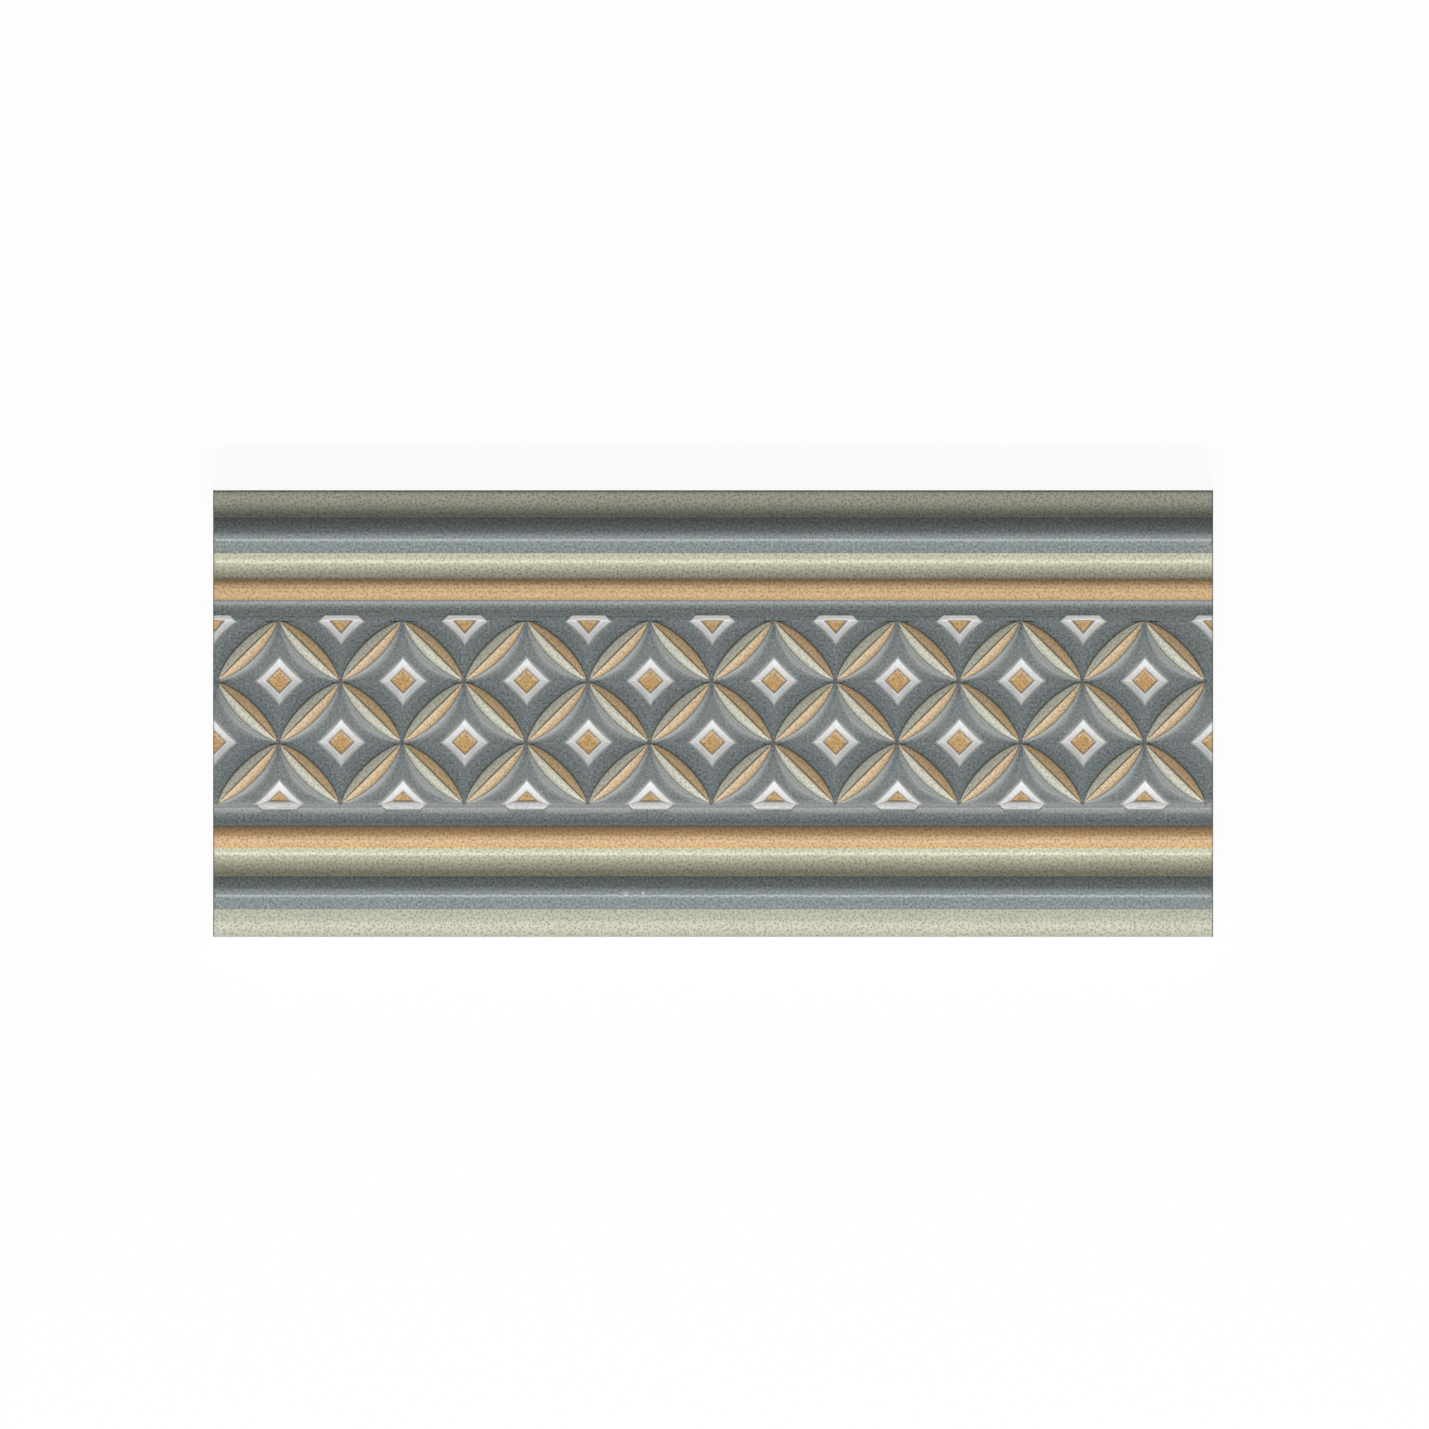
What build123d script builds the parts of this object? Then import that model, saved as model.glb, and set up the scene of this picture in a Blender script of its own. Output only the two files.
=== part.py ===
from build123d import *
from math import atan2, degrees, hypot
import os

# Border tile: one pressed, fired and glazed ceramic piece, in millimetres.
# X runs along the tile, Y across it, and Z up from the back, which lies at Z = 0.

# Whole tile
tile_length = 150.0
tile_width = 67.0
edge_thickness = 7.0  # at the long edges, where the tile is thinnest
face_arris = 0.4  # rounding of the long edges, on the glazed face
back_arris = 0.6  # rounding of the long edges, on the back
end_arris = 0.3  # bevel of the two ends, on the glazed face

# Moulding along each long side, from the edge inwards. Its section is a run of straight flanks. A width
# leads to a band's corner, a rise is that corner's height above the long edge, and a radius rounds it.
sage_width = 2.4
sage_rise = 0.87
sage_radius = 9.0
slate_width = 4.25
slate_rise = 3.95
slate_radius = 2.0
cream_width = 4.9
cream_rise = 1.0
cream_radius = 2.0
bead_width = 3.1
bead_rise = 2.8
bead_radius = 1.4
channel_width = 3.15
channel_rise = 1.35
channel_radius = 1.5

# Flat panel between the two mouldings, pressed by a die of its own
panel_step = 1.4  # last corner of the moulding to the edge of the panel
panel_rise = 1.8
panel_radius = 0.4
panel_shift = 0.25  # the die sits this far off the middle of the tile, towards +Y

# Lattice on the panel: the leaves lie on its diagonals, and meet in fours at its crossings
repeats = 8
leaf_rows = 3
end_margin = 0.8  # mean distance of the last crossings to the ends of the tile
row_margin = 0.5  # outer crossings to the edge of the panel
pattern_shift = -0.25  # the pattern sits this far off the middle of the tile, along X

# Raised leaves: a ridge that arches from tip to tip, between two sloping flanks
leaf_width = 3.0
leaf_height = 0.6
leaf_tip_gap = 0.5  # tip to crossing
leaf_root = 0.3  # depth by which a leaf is bonded into the ground

# Sunk diamonds between the leaves, cut to triangles along the panel's edges
diamond_width = 6.75
diamond_height = 7.1
diamond_hollow = 0.22  # how far each side of the rim bows in
floor_width = 4.0
floor_height = 3.85
pit_depth = 0.34
cut_inset = 0.8  # cut side of a triangle to the edge of the panel
cut_wall = 0.12  # width in plan of the wall along that side
end_pit_overrun = 0.1  # middles of the pits that the ends cut in half, past those ends
pit_clearance = 1.0  # the space of a pit goes on this far above the leaves

# Adhesive key pressed into the back: shallow grooves inside a plain margin
key_count = 4
key_margin = 6.0
key_land = 6.0
key_depth = 0.6
key_draft = 30.0  # degrees

moulding = [
    (sage_width, sage_rise, sage_radius),
    (slate_width, slate_rise, slate_radius),
    (cream_width, cream_rise, cream_radius),
    (bead_width, bead_rise, bead_radius),
    (channel_width, channel_rise, channel_radius),
]
ground = edge_thickness + panel_rise
panel_width = tile_width - 2 * (sum(width for width, rise, radius in moulding) + panel_step)
pitch = (tile_length - 2 * end_margin) / repeats
row_height = (panel_width - 2 * row_margin) / leaf_rows
leaf_length = hypot(pitch / 2, row_height) - 2 * leaf_tip_gap
leaf_angle = degrees(atan2(row_height, pitch / 2))
clear_above = leaf_height + pit_clearance


def tile_section():
    """Section across the tile: the moulding on both sides of the flat panel, over a flat back."""
    inset = 0
    corners = [(-tile_width / 2, edge_thickness, face_arris)]
    for width, rise, radius in moulding:
        inset += width
        corners.append((inset - tile_width / 2, edge_thickness + rise, radius))
    mirrored = [(-y, z, radius) for y, z, radius in reversed(corners)]
    panel = [(panel_shift + side * panel_width / 2, ground, panel_radius) for side in (-1, 1)]
    back = [(tile_width / 2, 0, back_arris), (-tile_width / 2, 0, back_arris)]
    outline = corners + panel + mirrored + back
    with BuildSketch(Plane.YZ) as section:
        with BuildLine():
            points = [(y, z) for y, z, radius in outline]
            FilletPolyline(*points, radius=[radius for y, z, radius in outline], close=True)
        make_face()
    return section.sketch


def moulded_blank():
    """The tile before its pattern: the section pressed along its length, with bevelled ends."""
    blank = extrude(tile_section(), tile_length / 2, both=True)
    ends = blank.faces().filter_by(Axis.X)
    rims = [edge for edge in ends.edges() if edge.center().Z > edge_thickness - face_arris]
    return chamfer(rims, end_arris)


def leaf():
    """A leaf along X on ground at Z = 0: an arched ridge with a flank to each side, in a pointed outline."""
    half = leaf_length / 2
    half_width = leaf_width / 2
    with BuildSketch(Plane.XY.offset(-leaf_root)) as outline:
        with BuildLine():
            ThreePointArc((-half, 0), (0, half_width), (half, 0))
            ThreePointArc((half, 0), (0, -half_width), (-half, 0))
        make_face()
    with BuildSketch(Plane.XZ) as ridge:
        with BuildLine():
            Polyline((half, 0), (half, -leaf_root), (-half, -leaf_root), (-half, 0))
            ThreePointArc((-half, 0), (0, leaf_height), (half, 0))
        make_face()
    flank = extrude(ridge.sketch, hypot(half_width, leaf_height), dir=(0, half_width, -leaf_height))
    return (flank + mirror(flank, Plane.XZ)) & extrude(outline.sketch, leaf_root + leaf_height)


def diamond_pit():
    """Space of a sunk diamond under ground at Z = 0: bowed rim, sloping walls and a flat floor."""
    across = diamond_width / 2
    along = diamond_height / 2
    points = [(across, 0), (0, along), (-across, 0), (0, -along)]
    with BuildSketch() as rim:
        with BuildLine():
            for start, end in zip(points, points[1:] + points[:1]):
                SagittaArc(start, end, diamond_hollow)
        make_face()
    with BuildSketch(Plane.XY.offset(-pit_depth)) as floor:
        Polygon((floor_width / 2, 0), (0, floor_height / 2), (-floor_width / 2, 0), (0, -floor_height / 2))
    return loft([floor.sketch, rim.sketch], ruled=True) + extrude(rim.sketch, clear_above)


def cut_pit():
    """A diamond pit cut by a sloping wall along the panel's +Y edge, which leaves a triangle."""
    edge = row_margin - cut_inset
    slope = cut_wall / pit_depth
    low = -2 * pit_depth
    with BuildSketch(Plane.YZ) as kept:
        Polygon(
            (edge + slope * clear_above, clear_above),
            (edge + slope * low, low),
            (-diamond_height, low),
            (-diamond_height, clear_above),
            align=None,
        )
    return diamond_pit() & extrude(kept.sketch, diamond_width, both=True)


def row_places(row, shifted):
    """Places of one lattice row, on the crossings or, shifted, half a repeat on, and on the ends."""
    y = panel_shift + (leaf_rows / 2 - row) * row_height
    offset = 0.5 if (row % 2 == 0) != shifted else 0
    count = repeats if offset else repeats + 1
    first = -(count - 1) / 2
    spots = [pattern_shift + (first + i) * pitch for i in range(count)]
    if not offset:
        spots[0] = -tile_length / 2 - end_pit_overrun
        spots[-1] = tile_length / 2 + end_pit_overrun
    return [Pos(x, y, ground) for x in spots]


def leaf_places():
    """Middles of the lattice diagonals, turned to lie along them."""
    places = []
    for row in range(leaf_rows):
        y = panel_shift + (leaf_rows / 2 - row - 0.5) * row_height
        for i in range(2 * repeats):
            x = pattern_shift + (i + 0.5 - repeats) * pitch / 2
            turn = leaf_angle if (i + row) % 2 == 0 else -leaf_angle
            places.append(Pos(x, y, ground) * Rot(0, 0, turn))
    return places


def pits():
    """All the pits: triangles on the outer lattice rows and whole diamonds on the inner ones."""
    triangle = cut_pit()
    diamond = diamond_pit()
    found = [place * triangle for place in row_places(0, True)]
    found += [place * Rot(0, 0, 180) * triangle for place in row_places(leaf_rows, True)]
    for row in range(1, leaf_rows):
        found += [place * diamond for place in row_places(row, True)]
    return found


def back_key():
    """Grooves along the back, with drafted sides, inside the plain margin."""
    spacing = (tile_width - 2 * key_margin + key_land) / key_count
    with BuildSketch() as grooves:
        with GridLocations(0, spacing, 1, key_count):
            Rectangle(tile_length - 2 * key_margin, spacing - key_land)
    return extrude(grooves.sketch, key_depth, taper=key_draft)


def border_tile():
    """The whole tile: leaves on the blank, then the pits and the key cut out of it."""
    one_leaf = leaf()
    tile = moulded_blank() + [place * one_leaf for place in leaf_places()]
    tile = tile - pits()
    return tile - back_key()


os.makedirs("parts", exist_ok=True)
tile = border_tile()
tile.label = "border_tile"
export_step(tile, "parts/border_tile.step")
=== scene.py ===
import bpy
import bmesh
import numpy as np
from math import cos, pi, radians, sin
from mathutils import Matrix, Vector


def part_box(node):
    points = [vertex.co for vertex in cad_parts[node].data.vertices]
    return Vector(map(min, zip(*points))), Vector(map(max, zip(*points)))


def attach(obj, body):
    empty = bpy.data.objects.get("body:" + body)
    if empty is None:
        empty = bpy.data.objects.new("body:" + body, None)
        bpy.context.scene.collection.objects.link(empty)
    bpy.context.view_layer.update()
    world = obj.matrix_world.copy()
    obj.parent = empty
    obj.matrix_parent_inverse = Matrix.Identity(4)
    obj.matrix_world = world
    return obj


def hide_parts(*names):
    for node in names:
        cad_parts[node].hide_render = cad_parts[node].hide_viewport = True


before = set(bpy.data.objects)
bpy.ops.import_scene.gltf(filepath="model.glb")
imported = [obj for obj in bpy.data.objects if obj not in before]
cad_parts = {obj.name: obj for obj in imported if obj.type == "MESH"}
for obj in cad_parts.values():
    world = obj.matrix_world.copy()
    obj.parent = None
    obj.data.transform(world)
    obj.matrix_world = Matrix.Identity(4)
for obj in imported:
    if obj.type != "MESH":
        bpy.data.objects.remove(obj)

scene = bpy.context.scene
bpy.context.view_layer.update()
boxLow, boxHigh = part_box("border_tile")
mm = 0.001
print("frame loaded")


def srgb(code):  # hex colour as painted, to the linear values that the shaders take
    parts = [int(code[i:i + 2], 16) / 255 for i in (1, 3, 5)]
    return tuple(p / 12.92 if p <= 0.04045 else ((p + 0.055) / 1.055) ** 2.4 for p in parts) + (1.0,)


def addNode(tree, kind, settings, links):  # settings and links go by socket name, socket number or property
    node = tree.nodes.new(kind)
    for key, value in settings.items():
        if isinstance(key, str) and hasattr(node, key):
            setattr(node, key, value)
        else:
            node.inputs[key].default_value = value
    for key, source in links.items():
        tree.links.new(source, node.inputs[key])
    return node


def newMaterial(name):
    material = bpy.data.materials.new(name)
    material.use_nodes = True
    material.node_tree.nodes.clear()
    return material


def mixPoints(a, b, share):
    return a + (b - a) * share


# the tile's main sizes in millimetres; down to "rowMargin" they are those of the solid
tile = {
    "length": (boxHigh.x - boxLow.x) / mm,
    "width": (boxHigh.y - boxLow.y) / mm,
    "edge": 7.0,             # thickness at the long edges
    "ground": 8.8,           # height of the flat panel
    "panelWidth": 28.6,
    "panelShift": 0.25,      # the panel sits a little towards +Y
    "patternShift": -0.25,   # and its pattern a little towards -X
    "repeats": 8,
    "rows": 3,
    "endMargin": 0.8,
    "rowMargin": 0.5,
    "arris": 0.35,           # soft rim of the glazed face
    "rimLine": 0.7,          # strength of the dark line on that rim, painted shade along the rounded edge
    "endLine": 0.4,          # share of the rim that the line takes at the ends
}
halfPitch = (tile["length"] - 2 * tile["endMargin"]) / tile["repeats"] / 2
rowStep = (tile["panelWidth"] - 2 * tile["rowMargin"]) / tile["rows"]

# Every point of the mesh carries a line value, for the dark drawn lines and a painted shade line on the
# rim, and a tone, which pales the glaze towards its thin colour above 0 and darkens it towards its deep
# colour below 0: partly the glaze thinning and pooling, partly painted light and shade beside the leaves,
# on the white walls and by the panel's edge.
points, faces, faceGlaze, lineValue, toneValue = [], [], [], [], []
glazeOrder = [
    "slate", "ground", "sage", "cream", "ochre",
    "leafSage", "leafOchre", "white", "floor", "biscuit",
]

leaf = {
    "upperHalf": 1.48,       # half widths above and below the spine
    "lowerHalf": 1.4,
    "height": 0.6,
    "tipGap": 0.4,
    "stations": 17,
    "fullness": 2.2,         # above 2, the outline swells faster from the tip
    "bluntness": 0.78,
    "crown": 1.5,            # above 1, the flank rounds over towards the spine
    "foot": 0.1,             # the ground lifts this much where it meets the leaf
    "lineIn": 0.25,          # half widths of the drawn lines, on the leaf's side
    "spineLit": 0.11,
    "spineShade": 0.36,
    "footMost": 0.25,        # the most that these lines take of a flank, where it narrows to a tip
    "spineMost": 0.24,
    "thinnest": 0.01,        # a flank counts as at least this wide
    "upperLine": 1.0,        # strengths of the drawn lines; the one above a leaf is the darker, partly as painted shade
    "lowerLine": 0.48,
    "spineLine": 1.0,
    "tipLine": 0.62,
    "tipStart": 0.3,         # the outline leaves a tip at this share of its strength
    "tipGain": 4.0,          # and gains this much with the leaf's width
    # the ground beside a leaf, above either colour and below each: distance from the outline, tone, line;
    # the tones are painted shade above a leaf and a painted pale halo of light below it
    "shade": [(1.8, 0.0, 0.0), (1.4, 0.0, 0.0), (1.0, -0.02, 0.0),
              (0.7, -0.05, 0.0), (0.48, -0.08, 0.0), (0.3, -0.1, 0.0)],
    "leafSageLit": [(1.8, 0.16, 0.0), (1.4, 0.22, 0.0), (1.1, 0.4, 0.0),
                    (0.8, 0.48, 0.0), (0.5, 0.42, 0.28), (0.25, 0.54, 0.0)],
    "leafOchreLit": [(1.8, 0.14, 0.0), (1.3, 0.2, 0.0), (0.95, 0.38, 0.0),
                     (0.7, 0.56, 0.0), (0.45, 0.7, 0.0), (0.25, 0.76, 0.0)],
    "openGround": 0.12,      # painted light on the ground further below a leaf, and the tone further above one
    "shadeGround": 0.04,
    "openGain": 2.5,         # how fast the first one comes in from the leaf's lower end
    # shares of the way across a flank, and tones from its foot to its spine: painted light on the lit
    # flanks, strongest by the spine of an ochre one, and small painted tones on the shaded ones
    "flankAt": (0.35, 0.55, 0.75),
    "leafSageLitTones": (-0.15, 0.14, 0.2, 0.1, -0.08),
    "leafOchreLitTones": (-0.16, 0.08, 0.22, 0.34, 0.4),
    "leafSageShadeTones": (0.0, 0.0, 0.0, 0.03, -0.06),
    "leafOchreShadeTones": (-0.04, 0.0, 0.02, 0.04, -0.04),
    "leafSageFade": 0.7,     # the painted pale halo of light under a leaf weakens to this at its upper end
    "leafOchreFade": 0.4,
}

pit = {
    "width": 6.76,
    # the upper and the lower sides of a pit differ, because the print lies a little low; the tones of their
    # white walls are painted light and shade
    "upperBow": 0.1,         # how far each side of the rim bows in
    "lowerBow": 0.26,
    "upperSoft": 0.55,       # the white thins out over this width
    "lowerSoft": 0.46,
    "upperLine": 0.58,       # strengths of the dark line round the floor
    "lowerLine": 0.86,
    "upperGlow": 0.5,        # tones of the floor along that line
    "lowerGlow": -0.05,
    "upperWalls": (-0.25, 0.0, 0.15),  # painted light and shade that the white walls get on top, from the floor out
    "lowerWalls": (1.0, 0.6, 0.2),
    "topTone": 0.3,          # and painted light and shade at the top, side and bottom corners
    "sideTone": -0.55,
    "bottomTone": -0.4,
    "floorRing": 0.55,       # the floor's inner ring of points, as a share of the way to its edge
    "floorEdge": 0.9,        # share of the depth just outside the floor, and along a triangle's cut side
    "wallRings": ((0.5, 0.5), (0.9, 0.08)),  # rings on the walls: share of the way out, share of the depth
    "barRings": ((0.32, 0.2), (0.5, 0.0), (0.9, 0.0)),  # and on the bar of a triangle
    "rimStep": 0.03,         # the white ends within this width
    "besideRings": (0.02, 0.1),  # rings just outside a triangle's rim, as shares of the way on
    "barStations": 8,
    "besideBar": 0.35,       # the panel's edge line stops this far from a triangle
    "endOverrun": 0.1,       # pits that the ends cut in half have their middles this far past those ends
}

# Whole diamonds (0) and the triangles on the panel's upper (1) and lower (-1) edge. "middle" is how far
# the print lies off the lattice, "floorUp" how far the floor lies off that middle, and "floorLevel" where
# its side corners are. A triangle is a diamond cut off "cut" past its middle, with a plain white bar that
# spills over the panel's edge.
# "whiteTone" and "barTone" are painted light and shade on the white of a triangle's walls and bar.
pitKinds = {
    0: {"middle": (0.12, 0.01), "height": 6.83, "floorWidth": 3.75, "floorHeight": 3.7, "floorUp": 0.08,
        "floorLevel": 0.0, "depth": 0.34, "lineShare": 0.18, "whiteTone": 0.0, "rimTone": 0.55},
    1: {"middle": (0.12, -0.25), "height": 6.7, "floorWidth": 3.6, "floorHeight": 3.45, "floorUp": 0.0,
        "floorLevel": 0.15, "depth": 0.18, "lineShare": 0.32, "whiteTone": -0.4, "rimTone": 0.35,
        "cut": 0.92, "cutGlow": 0.45, "cutLine": 0.85, "barTone": -0.6, "spillTone": -0.5},
    -1: {"middle": (0.12, -0.01), "height": 6.9, "floorWidth": 4.1, "floorHeight": 3.8, "floorUp": 0.0,
         "floorLevel": 0.45, "depth": 0.18, "lineShare": 0.32, "whiteTone": 0.35, "rimTone": 0.6,
         "cut": 0.78, "cutGlow": 0.0, "cutLine": 0.9, "barTone": -0.1, "spillTone": -1.0},
}

# upper (1) and lower (-1) edge of the panel, where it drops to the channel
lip = {
    "slope": 0.3,
    "lineInset": 0.22,       # the drawn line fades out over this width
    "line": {1: 0.3, -1: 0.6},
    "lowerTone": 0.45,       # painted light: the ground pales by this at the lower edge
    "inside": 1.3,           # and comes back to its own tone over this width
    "glow": {1: [(0.0, 0.16), (0.4, 0.1), (0.7, 0.0)],  # pale strips outside the edges: distance, tone; thin glaze over the edge, with painted light on the lower one
             -1: [(0.0, 0.38), (0.2, 0.24), (0.65, 0.22), (1.1, 0.0)]},
    "pastBar": 0.2,          # share of a strip that is left outside a triangle
}

# rings of a cell: 12 over the pit and the open ground, then those beside a leaf, its outline, and those
# up its flank, with one near each end and one on the spine
ringCount = 12 + len(leaf["shade"]) + 1 + len(leaf["flankAt"]) + 3
corners = {"right": (halfPitch, 0), "above": (0, rowStep), "left": (-halfPitch, 0), "below": (0, -rowStep)}


def aside(x):  # how far a pit moves along the tile, so that the ends cut the last ones in half
    move = np.sign(x) * (tile["length"] / 2 + pit["endOverrun"]) - x
    return move if abs(move) < halfPitch / 2 else 0.0


def aroundPit(middle, width, height, level):  # corners of a diamond; level moves the two side ones up
    x, y = middle
    side = width / 2 * (1 - abs(level) / (height / 2))
    return {"right": np.array((x + side, y + level)), "left": np.array((x - side, y + level)),
            "above": np.array((x, y + height / 2)), "below": np.array((x, y - height / 2))}


def pitCell(kind, place):
    look = pitKinds[kind]
    middle = (look["middle"][0] + aside(place[0]), look["middle"][1])
    floorMiddle = (middle[0], middle[1] + look["floorUp"])
    hubY = look["floorLevel"] * 2 / 3 - kind * look["floorHeight"] / 6  # middle of the floor's shape
    return {
        "look": look,
        "rim": aroundPit(middle, pit["width"], look["height"], 0),
        "floor": aroundPit(floorMiddle, look["floorWidth"], look["floorHeight"], look["floorLevel"]),
        "hub": np.array((floorMiddle[0], floorMiddle[1] + hubY)),
    }


def leafSide(cell, place, start, end, under, colour, withEnd):
    # rings of one quarter of a cell, from the middle of its floor out to the spine of the leaf beside it
    a, b = np.array(corners[start], float), np.array(corners[end], float)
    hub = cell["hub"]
    span = np.hypot(*(b - a))
    tip = leaf["tipGap"] / span
    inner = tip + (1 - 2 * tip) * (1 - np.cos(np.linspace(0, pi, leaf["stations"]))) / 2
    share = np.concatenate([[0.0], inner, [1.0]] if withEnd else [[0.0], inner])[:, None]
    turned = np.array([-(b - a)[1], (b - a)[0]]) / span
    inward = turned if np.dot(turned, hub - a) > 0 else -turned
    onTile = abs(place[0] + (a[0] + b[0]) / 2) < tile["length"] / 2
    along = np.clip((share - 0.5) / (0.5 - tip), -1, 1)
    full = (1 - np.abs(along) ** leaf["fullness"]) ** leaf["bluntness"] * onTile
    half = leaf["lowerHalf" if under else "upperHalf"] * full
    soft = full ** 0.5
    spine = mixPoints(a, b, share)
    outline = spine + inward * half
    which = "upper" if under else "lower"
    bow = pit[which + "Bow"] * 4 * share * (1 - share)
    rim = mixPoints(cell["rim"][start], cell["rim"][end], share) + inward * bow
    floor = mixPoints(cell["floor"][start], cell["floor"][end], share)
    gap = outline - rim
    gap = gap / np.hypot(gap[:, :1], gap[:, 1:])
    zero = np.zeros_like(share)
    look = cell["look"]
    depth, lineShare = -look["depth"], look["lineShare"]
    floorLine = pit[which + "Line"] + zero
    floorGlow = pit[which + "Glow"] + zero
    low = (spine[:, 1:].max() - spine[:, 1:]) / np.ptp(spine[:, 1])
    # painted light and shade on the white walls, by side and corner
    corner = mixPoints(pit["topTone"], pit["sideTone"], low) if under else pit["bottomTone"] * low
    white = [look["whiteTone"] + corner + tone for tone in pit[which + "Walls"]]
    # tones of the open ground: painted light below a leaf
    openTone = leaf["shadeGround"] + zero
    if under:
        openTone = leaf["openGround"] * np.minimum(1, leaf["openGain"] * (1 - low))
    rings = [
        (hub + np.zeros_like(spine), depth + zero, zero, zero, "floor"),
        (mixPoints(hub, floor, pit["floorRing"]), depth + zero, zero, zero, "floor"),
        (mixPoints(hub, floor, 1 - lineShare), depth + zero, zero, floorGlow, "floor"),
        (floor, depth + zero, floorLine, zero, "floor"),
        (mixPoints(hub, floor, 1 + lineShare), depth * pit["floorEdge"] + zero, zero, white[0], "white"),
    ]
    for (out, down), tone in zip(pit["wallRings"], white[1:]):
        rings.append((mixPoints(floor, rim, out), depth * down + zero, zero, tone, "white"))
    rings += [
        (rim, zero, zero, white[-1], "white"),
        (rim + gap * pit["rimStep"], zero, zero, look["rimTone"] + zero, "ground"),
        (rim + gap * pit[which + "Soft"], zero, zero, openTone, "ground"),
    ]
    # painted light in a pale halo on the ground below a leaf, painted shade above it
    beside = leaf[colour + "Lit" if under else "shade"]
    for step in (1 / 3, 1 / 2):  # two rings, evenly over the open ground
        openGround = mixPoints(rings[-1][0], outline - gap * beside[0][0], step)
        rings.append((openGround, zero, zero, openTone, "ground"))
    weight = mixPoints(leaf[colour + "Fade"], 1.0, low) if under else 1.0
    for away, tone, line in beside:
        lift = leaf["foot"] * soft * (1 - away / beside[0][0]) ** 2
        rings.append((outline - gap * away, lift, line * soft * weight, tone * soft * weight, "ground"))
    foot = leaf["foot"] * soft
    atTip = leaf["tipLine"] * onTile
    drawn = mixPoints(leaf["upperLine"], leaf["lowerLine"], full) if under else leaf["upperLine"]
    fromTip = np.minimum(1, leaf["tipStart"] + leaf["tipGain"] * full)
    edgeLine = np.where(full > 0, drawn * fromTip, atTip)
    rings.append((outline, foot, edgeLine, zero, "ground"))
    flank = np.maximum(half, leaf["thinnest"])
    nearFoot = np.minimum(leaf["lineIn"] / flank, leaf["footMost"])
    spineIn = leaf["spineLit" if under else "spineShade"]
    nearSpine = 1 - np.minimum(spineIn / flank, leaf["spineMost"])
    flankAt = (nearFoot,) + leaf["flankAt"] + (nearSpine, 1.0)
    # painted light and shade across the flank
    tones = leaf[colour + ("LitTones" if under else "ShadeTones")] + (0.0,)
    for up, tone in zip(flankAt, tones):
        z = mixPoints(foot, leaf["height"] * full, 1 - (1 - up + zero) ** leaf["crown"])
        line = np.where(full > 0, leaf["spineLine"] if np.ndim(up) == 0 and up == 1.0 else 0.0, atTip)
        rings.append((mixPoints(outline, spine, up), z, line, tone * soft, colour))
    return rings


def whiteHalf(turn):  # half width of a triangle's white where the panel's edge crosses it
    look = pitKinds[turn]
    level = tile["rowMargin"] - turn * look["middle"][1]
    return pit["width"] / 2 * (1 - level / (look["height"] / 2))


def barColumns(turn, place):
    # x of the points along the panel's edge in one cell; all but two at each end lie on the white
    x = pitKinds[turn]["middle"][0] + aside(place)
    half = whiteHalf(turn)
    bar = np.linspace(-half, half, pit["barStations"] + 1)
    beside = half + pit["besideBar"]
    return np.concatenate([[-halfPitch, x - beside], x + bar, [x + beside, halfPitch]])


def cutSide(cell, place, turn):
    # rings along the cut side of a triangle; turn is 1 on the panel's upper edge and -1 on its lower one
    outX = barColumns(turn, place[0])[::-turn]
    edgeY = turn * tile["rowMargin"]
    onBar = np.zeros(len(outX), bool)
    onBar[2:-2] = True
    out = np.stack([outX, np.full_like(outX, edgeY)], 1)
    first, last = ("right", "left") if turn > 0 else ("left", "right")
    rim = out.copy()
    for i, share in ((0, 1 / 3), (1, 2 / 3)):
        rim[i] = mixPoints(cell["rim"][first], out[2], share)
        rim[-1 - i] = mixPoints(cell["rim"][last], out[-3], share)
    inner = out.copy()
    inner[~onBar, 1] -= turn * lip["lineInset"]
    across = np.linspace(0, 1, len(outX) + 2)[1:-1, None]
    floor = mixPoints(cell["floor"][first], cell["floor"][last], across)
    hub, look = cell["hub"], cell["look"]
    zero = np.zeros((len(outX), 1))
    # painted shade and light on the triangle's white bar
    depth, white = -look["depth"], look["barTone"] + zero
    beside = np.where(onBar, 0.0, 1.0)[:, None]
    rings = [
        (hub + np.zeros_like(rim), depth + zero, zero, zero, "floor"),
        (mixPoints(hub, floor, pit["floorRing"]), depth + zero, zero, zero, "floor"),
        (mixPoints(hub, floor, 1 - look["lineShare"]), depth + zero, zero, look["cutGlow"] + zero, "floor"),
        (floor, depth * pit["floorEdge"] + zero, look["cutLine"] + zero, zero, "floor"),
    ]
    for far, down in pit["barRings"]:
        rings.append((mixPoints(floor, rim, far), depth * down + zero, zero, white, "white"))
    rings.append((rim, zero, zero, white, "white"))
    nearTip = [1 - away / (halfPitch - pit["width"] / 2) for away, tone, line in leaf["leafSageLit"]]
    plain = list(pit["besideRings"]) + [nearTip[0] / 3, nearTip[0] * 2 / 3] + nearTip
    plain += [1.0] * (ringCount - len(rings) - len(plain) - 1)  # as the leaf's rings meet at its tip
    for share in plain:
        rings.append((mixPoints(rim, inner, share), zero, zero, zero, "ground"))
    rings.append((out, zero, lip["line"][turn] * beside, zero, "ground"))
    return rings


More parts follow.
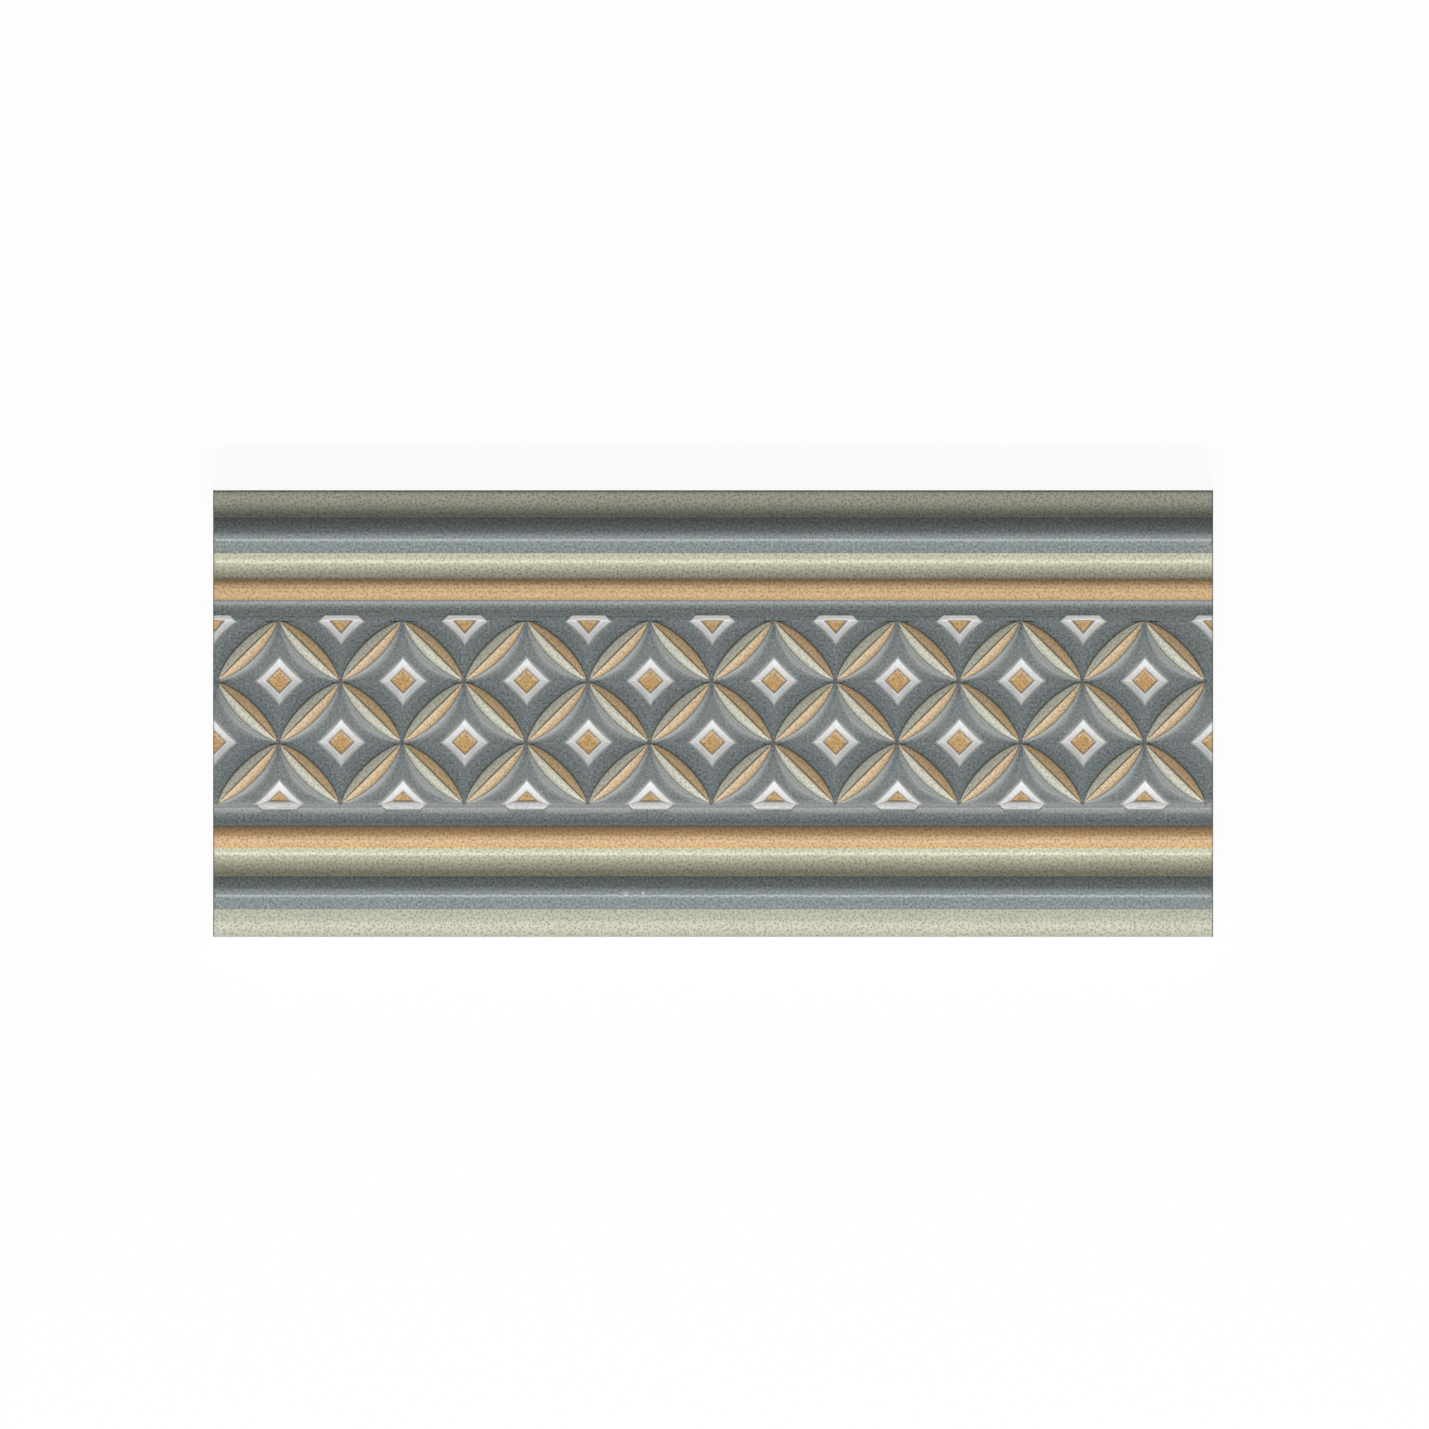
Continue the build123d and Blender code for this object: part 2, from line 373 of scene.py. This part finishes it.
def addCell(place, sides):
    columns = [np.concatenate([ring[k] for ring in column]) for column in zip(*sides) for k in range(4)]
    glaze = [[g for ring in column for g in [ring[4]] * len(ring[0])] for column in zip(*sides)]
    count = len(columns[0])
    first = len(points)
    for r in range(ringCount):
        xy, z, line, tone = columns[4 * r:4 * r + 4]
        # painted light on the ground near the panel's lower edge
        onGround = np.array([[name == "ground"] for name in glaze[r]])
        aboveEdge = xy[:, 1:] + place[1] - tile["panelShift"] + tile["panelWidth"] / 2
        tone = tone + onGround * lip["lowerTone"] * np.clip(1 - aboveEdge / lip["inside"], 0, 1)
        for i in range(count):
            points.append((xy[i, 0] + place[0], xy[i, 1] + place[1], z[i, 0] + tile["ground"]))
        lineValue.extend(line[:, 0])
        toneValue.extend(tone[:, 0])
    for r in range(ringCount - 1):
        for i in range(count):
            j = (i + 1) % count
            low = first + r * count
            high = low + count
            faces.append((low + i, high + i, high + j, low + j))
            atCut = glaze[r + 1][j] == "ground"  # a leaf's glaze ends at its tip, on the panel's edge
            faceGlaze.append(glazeOrder.index("ground" if atCut else glaze[r + 1][i]))


def diamondCell(place):
    cell = pitCell(0, place)
    addCell(place, [
        leafSide(cell, place, "right", "above", True, "leafSage", False),
        leafSide(cell, place, "above", "left", True, "leafOchre", False),
        leafSide(cell, place, "left", "below", False, "leafOchre", False),
        leafSide(cell, place, "below", "right", False, "leafSage", False),
    ])


def upperTriangle(place):
    cell = pitCell(1, place)
    addCell(place, [
        leafSide(cell, place, "left", "below", False, "leafOchre", False),
        leafSide(cell, place, "below", "right", False, "leafSage", True),
        cutSide(cell, place, 1),
    ])


def lowerTriangle(place):
    cell = pitCell(-1, place)
    addCell(place, [
        leafSide(cell, place, "right", "above", True, "leafSage", False),
        leafSide(cell, place, "above", "left", True, "leafOchre", True),
        cutSide(cell, place, -1),
    ])


def rowY(row):
    return tile["panelShift"] + (tile["rows"] / 2 - row) * rowStep


halfCount = tile["repeats"] // 2
whole = [tile["patternShift"] + 2 * halfPitch * k for k in range(-halfCount, halfCount + 1)]
between = [tile["patternShift"] + 2 * halfPitch * (k - 0.5) for k in range(-halfCount, halfCount + 2)]
for x in whole:
    upperTriangle((x, rowY(0)))
    diamondCell((x, rowY(2)))
for x in between:
    diamondCell((x, rowY(1)))
    lowerTriangle((x, rowY(3)))
print("lattice cells:", len(whole) * 2 + len(between) * 2)

# Moulded side, one band of glaze after another from the long edge inwards, with distances from that edge.
# "ends" is where the glaze stops on the upper and on the lower side, because the print lies a little low.
# "slope" pairs give the section, which climbs where they are positive; "tone" pairs pale or darken the
# glaze, and the two pale lines along the ochre bead are painted highlights on its thin-glazed crest.
bands = [
    {"glaze": "sage", "ends": {1: 4.1, -1: 4.15},
     "slope": [(0.0, 0.3), (1.2, 0.35), (2.1, 0.45), (2.6, 0.49), (3.0, 0.63), (3.6, 0.86)],
     "tone": [(0.0, -0.4), (0.7, 0.0), (1.6, 0.1), (2.1, 0.05), (2.5, -0.2), (4.1, -0.38)]},
    {"glaze": "slate", "ends": {1: 9.45, -1: 9.1},
     "slope": [(4.1, 0.82), (4.8, 0.77), (5.3, 0.61), (5.75, 0.52), (6.15, 0.42), (6.6, 0.15), (7.05, -0.2),
               (7.45, -0.42), (7.9, -0.53), (8.4, -0.56), (9.0, -0.72)],
     "tone": [(4.4, 0.0), (5.0, -0.12), (6.2, 0.0), (6.8, 0.12), (7.1, 0.1), (7.5, 0.0), (9.2, 0.0)]},
    {"glaze": "cream", "ends": {1: 13.35, -1: 13.3},
     "slope": [(9.75, -0.72), (10.2, -0.53), (10.65, -0.42), (11.1, -0.3), (11.55, -0.05), (12.0, 0.18),
               (12.45, 0.42), (12.9, 0.48)],
     "tone": [(9.6, -0.12), (10.6, 0.0), (12.6, 0.0), (12.9, 0.08), (13.3, 0.0)]},
    {"glaze": "ochre", "ends": {1: 16.48, -1: 16.5},
     "slope": [(13.2, 0.8), (13.5, 0.85), (13.85, 0.5), (14.25, 0.28), (14.7, 0.08), (15.15, -0.18),
               (15.6, -0.36), (16.05, -0.55)],
     # pale lines along the bead: painted highlights, on glaze that thins over its crest
     "tone": [(14.15, 0.0), (14.35, 0.3), (14.55, 0.14), (14.75, 0.14), (14.95, 0.3), (15.15, 0.02),
              (15.6, -0.08), (16.05, -0.15), (16.25, -0.35), (16.4, -0.6)]},
    {"glaze": "ground", "ends": {1: 25.0, -1: 25.0},
     "slope": [(16.6, -0.56), (17.0, -0.5), (17.4, -0.33), (17.85, -0.04)],
     "tone": [(16.6, 0.1), (16.85, 0.24), (17.15, 0.06), (17.4, 0.0)]},
]
moulding = {
    "rimRows": [0.0, 0.03, 0.08, 0.15, 0.25],  # rows of points on the soft rim
    "step": 0.2,             # between the rows from there on
    "rowsEnd": 0.1,          # the last of them stays this far from the panel
    "sums": 2000,            # steps in which the slopes add up to the section
}


def rimDrop(distance):  # how far the rounded rim falls away, from the distance to the edge
    inside = np.clip(tile["arris"] - distance, 0, tile["arris"])
    return tile["arris"] - np.sqrt(tile["arris"] ** 2 - inside ** 2)


def addMoulding(side, cells):
    panelAt = tile["width"] / 2 - tile["panelWidth"] / 2 - side * tile["panelShift"]
    panelRise = tile["ground"] - tile["edge"]
    at, slope = zip(*[pair for band in bands for pair in band["slope"]] + [(panelAt, lip["slope"])])
    fine = np.linspace(0, panelAt, moulding["sums"])
    rate = np.interp(fine, at, slope)
    rise = np.concatenate([[0], np.cumsum((rate[1:] + rate[:-1]) / 2 * np.diff(fine))])
    lastBand = bands[-1]["slope"][0][0]
    rise += (panelRise - rise[-1]) * np.clip((fine - lastBand) / (panelAt - lastBand), 0, 1)
    look = pitKinds[side]
    spill = look["cut"] + side * look["middle"][1] - tile["rowMargin"]  # white past the panel's edge
    ends = [band["ends"][side] for band in bands[:-1]]
    even = np.arange(tile["arris"], panelAt - moulding["rowsEnd"], moulding["step"])
    rows = np.concatenate([moulding["rimRows"], even, ends,
                           [panelAt - spill, panelAt - lip["lineInset"], panelAt]])
    rows = np.unique(np.round(rows, 3))
    toneAt, toneShare = zip(*[pair for band in bands for pair in band["tone"]])
    tones = np.interp(rows, toneAt, toneShare)
    glows = np.interp(panelAt - rows, *zip(*lip["glow"][side]))
    columns = [barColumns(side, x) for x in cells]
    steps = len(columns[0]) - 1
    lean = np.zeros(steps + 1)
    lean[2:-2] = np.linspace(-1, 1, steps - 3) * pit["width"] / look["height"]
    lean[[1, -2]] = lean[[2, -3]]
    onBar = np.zeros(steps + 1, bool)
    onBar[2:-2] = True
    count = len(cells) * steps + 1
    first = len(points)
    for d, tone, glow in zip(rows, tones, glows):
        z = tile["edge"] + np.interp(d, fine, rise) - rimDrop(d)
        spread = [x + column - lean * min(panelAt - d, spill) for x, column in zip(cells, columns)]
        xs = np.concatenate([xRow[:-1] for xRow in spread] + [spread[-1][-1:]])
        white = np.concatenate([onBar[:-1]] * len(cells) + [onBar[-1:]])
        atEdge = d == rows[-1]
        for x, isWhite in zip(xs, white):
            points.append((x, side * (tile["width"] / 2 - d), z))
            # painted shade line on the rim row; drawn line at the panel's edge
            lineValue.append(tile["rimLine"] if d == 0 else lip["line"][side] * (atEdge and not isWhite))
            # pale strips by the panel's edge: thin glaze, with painted light on the lower side
            strip = tone + glow * (lip["pastBar"] if isWhite else 1.0)
            toneValue.append(look["spillTone"] if isWhite and panelAt - d <= spill else strip)
    for r in range(len(rows) - 1):
        middle = (rows[r] + rows[r + 1]) / 2
        glaze = next(band["glaze"] for band in bands if middle < band["ends"][side])
        for i in range(count - 1):
            low = first + r * count + i
            quad = (low, low + 1, low + count + 1, low + count)
            faces.append(quad if side < 0 else quad[::-1])
            cellColumn = i % steps
            isWhite = panelAt - middle < spill and onBar[cellColumn] and onBar[cellColumn + 1]
            faceGlaze.append(glazeOrder.index("white" if isWhite else glaze))


addMoulding(1, whole)
addMoulding(-1, between)
print("mouldings added:", len(points), "points")

tolerance = {"merge": 0.002 * mm, "area": 1e-13, "cut": 1e-8, "side": 1e-7}  # metres and square metres
mesh = bpy.data.meshes.new("borderTileGlazed")
mesh.from_pydata([tuple(c * mm for c in p) for p in points], [], faces)
mesh.polygons.foreach_set("material_index", faceGlaze)
for name, values in (("line", lineValue), ("tone", toneValue)):
    mesh.attributes.new(name, "FLOAT", "POINT").data.foreach_set("value", values)
bm = bmesh.new()
bm.from_mesh(mesh)
bmesh.ops.remove_doubles(bm, verts=bm.verts, dist=tolerance["merge"])
# faces without area are left where leaf tips meet the panel's edge
flatFaces = [face for face in bm.faces if face.calc_area() < tolerance["area"]]
bmesh.ops.delete(bm, geom=flatFaces, context="FACES")
for face in bm.faces:
    face.smooth = True

# the ends cut the pattern off, with loops for the same soft rim as on the long edges
endX = tile["length"] / 2
endLoops = (1.0, 0.6, 0.3, 0.1, 0.0)  # shares of the rim; the last one is the cut itself
for fraction in endLoops:
    inset = tile["arris"] * fraction
    for side in (-1, 1):
        parts = list(bm.verts) + list(bm.edges) + list(bm.faces)
        bmesh.ops.bisect_plane(bm, geom=parts, dist=tolerance["cut"], plane_no=(side, 0, 0),
                               plane_co=(side * (endX - inset) * mm, 0, 0), clear_outer=fraction == 0)
lineLayer = bm.verts.layers.float["line"]
for vert in bm.verts:
    toEnd = endX - abs(vert.co.x) / mm
    vert.co.z -= float(rimDrop(toEnd)) * mm
    # painted shade: the dark line along the rim at the ends
    if toEnd < tile["arris"] * tile["endLine"]:
        vert[lineLayer] = max(vert[lineLayer], tile["rimLine"])

# back of the tile: a margin round four shallow grooves that key the adhesive
backKey = {"grooves": 4, "margin": 6.0, "land": 6.0, "depth": 0.6, "flare": 0.35}
grooveStep = (tile["width"] - 2 * backKey["margin"] + backKey["land"]) / backKey["grooves"]
xLines = [-endX, -endX + backKey["margin"], endX - backKey["margin"], endX]
yLines = [-tile["width"] / 2]
for groove in range(backKey["grooves"]):
    start = -tile["width"] / 2 + backKey["margin"] + groove * grooveStep
    yLines += [start, start + grooveStep - backKey["land"]]
yLines.append(tile["width"] / 2)
biscuit = glazeOrder.index("biscuit")


def addFace(loop):
    bm.faces.new(loop).material_index = biscuit


backGrid = [[bm.verts.new((x * mm, y * mm, 0)) for x in xLines] for y in yLines]
for j in range(len(yLines) - 1):
    for i in range(len(xLines) - 1):
        loop = [backGrid[j][i], backGrid[j + 1][i], backGrid[j + 1][i + 1], backGrid[j][i + 1]]
        if i != 1 or j % 2 == 0:  # the margin, and the lands between the grooves
            addFace(loop)
            continue
        middle = sum((c.co for c in loop), loop[0].co * 0) / 4
        deep = []
        for corner in loop:
            inner = corner.co.copy()
            inner.x -= np.sign(inner.x - middle.x) * backKey["flare"] * mm
            inner.y -= np.sign(inner.y - middle.y) * backKey["flare"] * mm
            inner.z = backKey["depth"] * mm
            deep.append(bm.verts.new(inner))
        addFace(deep)
        for k in range(4):
            addFace([loop[k], loop[(k + 1) % 4], deep[(k + 1) % 4], deep[k]])

# plain sides between the glazed face and the back
aboveBack = [v for v in bm.verts if v.co.z > 0]
for side in (-1, 1):
    wall = [v for v in aboveBack if abs(v.co.x - side * endX * mm) < tolerance["side"]]
    rim = sorted(wall, key=lambda v: v.co.y)
    foot = [row[0 if side < 0 else -1] for row in backGrid]
    addFace(rim + foot[::-1])
    wall = [v for v in aboveBack if abs(v.co.y - side * tile["width"] / 2 * mm) < tolerance["side"]]
    rim = sorted(wall, key=lambda v: v.co.x)
    addFace(rim + (backGrid[0] if side < 0 else backGrid[-1])[::-1])
bmesh.ops.recalc_face_normals(bm, faces=bm.faces)
openEdges = sum(1 for e in bm.edges if len(e.link_faces) != 2)
triangles = sum(len(f.verts) - 2 for f in bm.faces)
bm.to_mesh(mesh)
bm.free()
tilePiece = bpy.data.objects.new("borderTileGlazed", mesh)
scene.collection.objects.link(tilePiece)
print("tile mesh:", triangles, "triangles,", openEdges, "open edges")

# The glazes: "base" is the mean colour, "deep" where the glaze pools, in its pinholes and as painted shade,
# "pale" in its light grain, the thin colour where it runs thin over an edge and as painted light, and
# "line" the drawn lines in it and the painted shade line on the rim. "dots" and "grain" are how strong the
# pinholes and the grain are. "chips" are x, y, radius in mm and how bare they are.
glazes = {
    "slate": {
        "name": "satinSlateGlaze", "rough": 0.22,
        "base": "#79807F", "deep": "#545B5C", "pale": "#9AA2A2", "thinAndLit": "#C8CED2", "line": "#3C3F3E",
        "dotMm": 0.5, "dots": 0.14, "grainMm": 0.36, "grain": 0.75,
        "chips": [(-10.5, -26.9, 0.28, 0.9), (-13.1, -27.0, 0.5, 0.4), (53.0, 29.25, 0.26, 0.6)],
    },
    "ground": {
        "name": "satinDarkSlateGlaze", "rough": 0.42,
        "base": "#6B7171", "deep": "#4A5051", "pale": "#8B9394", "thinAndLit": "#CED0CC", "line": "#45423A",
        "dotMm": 0.5, "dots": 0.14, "grainMm": 0.36, "grain": 0.75,
    },
    "sage": {
        "name": "satinSageGlaze", "rough": 0.5,
        "base": "#C3C0AD", "deep": "#6A7066", "pale": "#CDCDBB", "thinAndLit": "#F2EFDC", "line": "#3C3F3A",
        "dotMm": 0.56, "dots": 0.62, "grainMm": 0.33, "grain": 0.4,
    },
    "cream": {
        "name": "satinCreamGlaze", "rough": 0.22,
        "base": "#C1C0A6", "deep": "#77776A", "pale": "#D2D0BA", "thinAndLit": "#F2EFDC", "line": "#4A4A40",
        "dotMm": 0.56, "dots": 0.62, "grainMm": 0.33, "grain": 0.4,
    },
    "ochre": {
        "name": "satinOchreGlaze", "rough": 0.42,
        "base": "#CFAC7E", "deep": "#86684A", "pale": "#E0BE90", "thinAndLit": "#F6DFBE", "line": "#5F4A30",
        "dotMm": 0.56, "dots": 0.62, "grainMm": 0.33, "grain": 0.4,
    },
    "leafSage": {
        "name": "satinPaleSageGlaze", "rough": 0.36,
        "base": "#C5C5B3", "deep": "#7E8076", "pale": "#D8D7C6", "thinAndLit": "#F7F4E4", "line": "#4A463C",
        "dotMm": 0.54, "dots": 0.5, "grainMm": 0.33, "grain": 0.4,
    },
    "leafOchre": {
        "name": "satinPaleOchreGlaze", "rough": 0.36,
        "base": "#C8AD85", "deep": "#846B4D", "pale": "#DABF98", "thinAndLit": "#FBEBD2", "line": "#544532",
        "dotMm": 0.54, "dots": 0.5, "grainMm": 0.33, "grain": 0.4,
    },
    "white": {
        "name": "satinWhiteGlaze", "rough": 0.36,
        "base": "#DCDCDA", "deep": "#B0B1AF", "pale": "#E6E6E4", "thinAndLit": "#F4F5F5", "line": "#655A4B",
        "dotMm": 0.7, "dots": 0.12, "grainMm": 0.45, "grain": 0.4,
    },
    "floor": {
        "name": "satinHoneyGlaze", "rough": 0.45,
        "base": "#CEA872", "deep": "#8A683C", "pale": "#DDBC8C", "thinAndLit": "#E8DAC2", "line": "#5C5244",
        "dotMm": 0.56, "dots": 0.62, "grainMm": 0.33, "grain": 0.4,
    },
}
satin = {
    "specular": 0.095,
    "patchMm": 1.4,          # the pinholes lie in loose patches of this size
    "apart": 0.55,           # share of their strength that is left between the patches
    "cloudMm": 8.0,
    "clouds": 0.1,
    "bumpMm": 0.03,
    "chip": "#C9CCC8",       # bare body in the chips
}


def satinGlaze(look):
    # fired satin glaze: a faint narrow sheen, stippled with pinholes, and dark lines between the colours;
    # the tone attribute also paints light and shade into its colour
    material = newMaterial(look["name"])
    tree = material.node_tree
    where = addNode(tree, "ShaderNodeTexCoord", {}, {}).outputs["Object"]
    flat = addNode(tree, "ShaderNodeMapping", {"Scale": (1, 1, 0)}, {"Vector": where}).outputs[0]
    dots = addNode(tree, "ShaderNodeTexVoronoi",
                   {"voronoi_dimensions": "2D", "Scale": 1 / (look["dotMm"] * mm)},
                   {"Vector": where})
    patches = addNode(tree, "ShaderNodeTexNoise", {"Scale": 1 / (satin["patchMm"] * mm), "Detail": 2.0},
                      {"Vector": flat})
    grain = addNode(tree, "ShaderNodeTexNoise", {"Scale": 1 / (look["grainMm"] * mm), "Detail": 2.0},
                    {"Vector": flat})
    clouds = addNode(tree, "ShaderNodeTexNoise", {"Scale": 1 / (satin["cloudMm"] * mm), "Detail": 3.0},
                     {"Vector": flat})
    dotMask = addNode(tree, "ShaderNodeMapRange",
                      {"interpolation_type": "SMOOTHSTEP", "From Min": 0.4, "From Max": 0.12},
                      {"Value": dots.outputs["Distance"]})
    dotShare = addNode(tree, "ShaderNodeMapRange",
                       {"From Min": 0.25, "From Max": 0.6,
                        "To Min": look["dots"] * satin["apart"], "To Max": look["dots"]},
                       {"Value": patches.outputs["Fac"]})
    dotMask = addNode(tree, "ShaderNodeMath", {"operation": "MULTIPLY"},
                      {0: dotMask.outputs[0], 1: dotShare.outputs[0]})
    grainTone = addNode(tree, "ShaderNodeMapRange", {"From Min": 0.3, "From Max": 0.7},
                        {"Value": grain.outputs["Fac"]})
    cloudMask = addNode(tree, "ShaderNodeMapRange",
                        {"From Min": 0.35, "From Max": 0.7, "To Max": satin["clouds"]},
                        {"Value": clouds.outputs["Fac"]})
    speckle = addNode(tree, "ShaderNodeMix",
                      {"data_type": "RGBA", 6: srgb(look["deep"]), 7: srgb(look["pale"])},
                      {0: grainTone.outputs[0]})
    colour = addNode(tree, "ShaderNodeMix", {"data_type": "RGBA", 0: look["grain"], 6: srgb(look["base"])},
                     {7: speckle.outputs[2]})
    # tone: the glaze thinning and pooling, and painted light and shade beside the leaves, on the walls and
    # by the edges
    tone = addNode(tree, "ShaderNodeAttribute", {"attribute_name": "tone"}, {}).outputs["Fac"]
    thinAndLitMask = addNode(tree, "ShaderNodeMapRange", {}, {"Value": tone})
    poolAndShadeMask = addNode(tree, "ShaderNodeMapRange", {"From Max": -1.0}, {"Value": tone})
    line = addNode(tree, "ShaderNodeAttribute", {"attribute_name": "line"}, {}).outputs["Fac"]
    lineMask = addNode(tree, "ShaderNodeMapRange", {"From Min": 0.05, "From Max": 0.95, "To Max": 0.95},
                       {"Value": line})
    coats = [(cloudMask, look["deep"]), (thinAndLitMask, look["thinAndLit"]), (poolAndShadeMask, look["deep"]),
             (dotMask, look["deep"]), (lineMask, look["line"])]
    height = addNode(tree, "ShaderNodeMath", {"operation": "SUBTRACT"},
                     {0: grain.outputs["Fac"], 1: dotMask.outputs[0]})
    for x, y, radius, bare in look.get("chips", []):
        away = addNode(tree, "ShaderNodeVectorMath",
                       {"operation": "DISTANCE", 1: (x * mm, y * mm, 0)}, {0: flat})
        ragged = addNode(tree, "ShaderNodeMath",
                         {"operation": "MULTIPLY_ADD", 1: radius * mm, 2: -radius * mm / 2},
                         {0: grain.outputs["Fac"]})
        ragged = addNode(tree, "ShaderNodeMath", {"operation": "ADD"},
                         {0: away.outputs["Value"], 1: ragged.outputs[0]})
        chipMask = addNode(tree, "ShaderNodeMapRange",
                           {"From Min": radius * mm, "From Max": radius * mm * 0.4, "To Max": bare},
                           {"Value": ragged.outputs[0]})
        coats.append((chipMask, satin["chip"]))
    for mask, code in coats:
        colour = addNode(tree, "ShaderNodeMix", {"data_type": "RGBA", 7: srgb(code)},
                         {0: mask.outputs[0], 6: colour.outputs[2]})
    bump = addNode(tree, "ShaderNodeBump", {"Strength": 0.3, "Distance": satin["bumpMm"] * mm},
                   {"Height": height.outputs[0]})
    shader = addNode(tree, "ShaderNodeBsdfPrincipled",
                     {"Roughness": look["rough"], "IOR": 1.5, "Specular IOR Level": satin["specular"]},
                     {"Base Color": colour.outputs[2], "Normal": bump.outputs["Normal"]})
    addNode(tree, "ShaderNodeOutputMaterial", {}, {"Surface": shader.outputs[0]})
    return material


body = {
    "light": "#CFC3B0",
    "dark": "#C5B8A3",
    "grit": "#A39076",
    "gritMm": 0.4,
    "cloudMm": 9.0,
    "bumpMm": 0.08,
}


def firedBiscuit():
    # bare fired body on the sides and the back: dry, chalky, a little sandy
    material = newMaterial("firedBiscuit")
    tree = material.node_tree
    where = addNode(tree, "ShaderNodeTexCoord", {}, {}).outputs["Object"]
    sand = addNode(tree, "ShaderNodeTexNoise", {"Scale": 1 / (body["gritMm"] * mm), "Detail": 4.0},
                   {"Vector": where})
    clouds = addNode(tree, "ShaderNodeTexNoise", {"Scale": 1 / (body["cloudMm"] * mm), "Detail": 4.0},
                     {"Vector": where})
    mask = addNode(tree, "ShaderNodeMapRange", {"From Min": 0.35, "From Max": 0.7},
                   {"Value": clouds.outputs["Fac"]})
    colour = addNode(tree, "ShaderNodeMix",
                     {"data_type": "RGBA", 6: srgb(body["light"]), 7: srgb(body["dark"])},
                     {0: mask.outputs[0]})
    grit = addNode(tree, "ShaderNodeMapRange", {"From Min": 0.58, "From Max": 0.7, "To Max": 0.5},
                   {"Value": sand.outputs["Fac"]})
    colour = addNode(tree, "ShaderNodeMix", {"data_type": "RGBA", 7: srgb(body["grit"])},
                     {0: grit.outputs[0], 6: colour.outputs[2]})
    bump = addNode(tree, "ShaderNodeBump", {"Strength": 0.5, "Distance": body["bumpMm"] * mm},
                   {"Height": sand.outputs["Fac"]})
    shader = addNode(tree, "ShaderNodeBsdfPrincipled", {"Roughness": 0.85, "IOR": 1.5},
                     {"Base Color": colour.outputs[2], "Normal": bump.outputs["Normal"]})
    addNode(tree, "ShaderNodeOutputMaterial", {}, {"Surface": shader.outputs[0]})
    return material


for key in glazeOrder:
    mesh.materials.append(firedBiscuit() if key == "biscuit" else satinGlaze(glazes[key]))
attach(tilePiece, "root")
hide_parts("border_tile")
print("glazes ready")

stage = {
    "floorSize": 6.0,        # metres, as the other sizes here are
    "floorDrop": 0.00002,    # keeps the floor clear of the tile's back
    "card": "#F6F6F6",
    "white": "#FFFFFF",
    "floorWhite": 0.94,      # share of the floor's look that is plain white, the rest takes the shadow
    "lampTilt": 43,          # degrees off the vertical, from the tile's lower long side
    "lampAway": 1.8,
    "lampSize": (1.0, 0.24),
    "lampWatts": 40.0,
    "fill": 0.09,
    "frameWidth": 0.21435,   # width and middle of what the photograph shows
    "frameShift": (0.000208, -0.00014),
    "cameraHeight": 0.6,
}


def seenRays(tree):  # 1 for what the camera sees, directly or in a reflection, and 0 for light on the tile
    rays = addNode(tree, "ShaderNodeLightPath", {}, {})
    seen = addNode(tree, "ShaderNodeMath", {"operation": "MAXIMUM"},
                   {0: rays.outputs["Is Camera Ray"], 1: rays.outputs["Is Glossy Ray"]})
    return addNode(tree, "ShaderNodeMath", {"operation": "MAXIMUM"},
                   {0: seen.outputs[0], 1: rays.outputs["Is Transmission Ray"]})


floorMesh = bpy.data.meshes.new("paleFloor")
reach = stage["floorSize"] / 2
floorMesh.from_pydata([(-reach, -reach, 0), (reach, -reach, 0), (reach, reach, 0), (-reach, reach, 0)], [],
                      [(0, 1, 2, 3)])
floorPiece = bpy.data.objects.new("paleFloor", floorMesh)
floorPiece.location.z = -stage["floorDrop"]
scene.collection.objects.link(floorPiece)
# matt white card: an even white that takes only a faint shadow
floorPaint = newMaterial("mattWhiteCard")
tree = floorPaint.node_tree
share = addNode(tree, "ShaderNodeMath", {"operation": "MULTIPLY", 1: stage["floorWhite"]},
                {0: seenRays(tree).outputs[0]})
card = addNode(tree, "ShaderNodeBsdfDiffuse", {"Color": srgb(stage["card"])}, {})
white = addNode(tree, "ShaderNodeEmission", {"Color": srgb(stage["white"]), "Strength": 1.0}, {})
mixed = addNode(tree, "ShaderNodeMixShader", {},
                {0: share.outputs[0], 1: card.outputs[0], 2: white.outputs[0]})
addNode(tree, "ShaderNodeOutputMaterial", {}, {"Surface": mixed.outputs[0]})
floorMesh.materials.append(floorPaint)

lampData = bpy.data.lights.new("keySoftbox", "AREA")
lampData.shape = "RECTANGLE"
lampData.size, lampData.size_y = stage["lampSize"]
lampData.energy = stage["lampWatts"]
lamp = bpy.data.objects.new("keySoftbox", lampData)
tilt = radians(stage["lampTilt"])
lamp.location = (0, -sin(tilt) * stage["lampAway"], cos(tilt) * stage["lampAway"])
lamp.rotation_euler = (tilt, 0, 0)
scene.collection.objects.link(lamp)

world = bpy.data.worlds.new("studioFill")
scene.world = world
world.use_nodes = True
tree = world.node_tree
tree.nodes.clear()
backdrop = addNode(tree, "ShaderNodeBackground", {"Color": srgb(stage["white"]), "Strength": 1.0}, {})
fill = addNode(tree, "ShaderNodeBackground", {"Color": srgb(stage["white"]), "Strength": stage["fill"]}, {})
mixed = addNode(tree, "ShaderNodeMixShader", {},
                {0: seenRays(tree).outputs[0], 1: fill.outputs[0], 2: backdrop.outputs[0]})
addNode(tree, "ShaderNodeOutputWorld", {}, {"Surface": mixed.outputs[0]})

cameraData = bpy.data.cameras.new("camera")
cameraData.type = "ORTHO"
cameraData.ortho_scale = stage["frameWidth"]
camera = bpy.data.objects.new("camera", cameraData)
camera.location = stage["frameShift"] + (stage["cameraHeight"],)
scene.collection.objects.link(camera)
scene.camera = camera
scene.view_settings.view_transform = "Standard"
print("stage set")
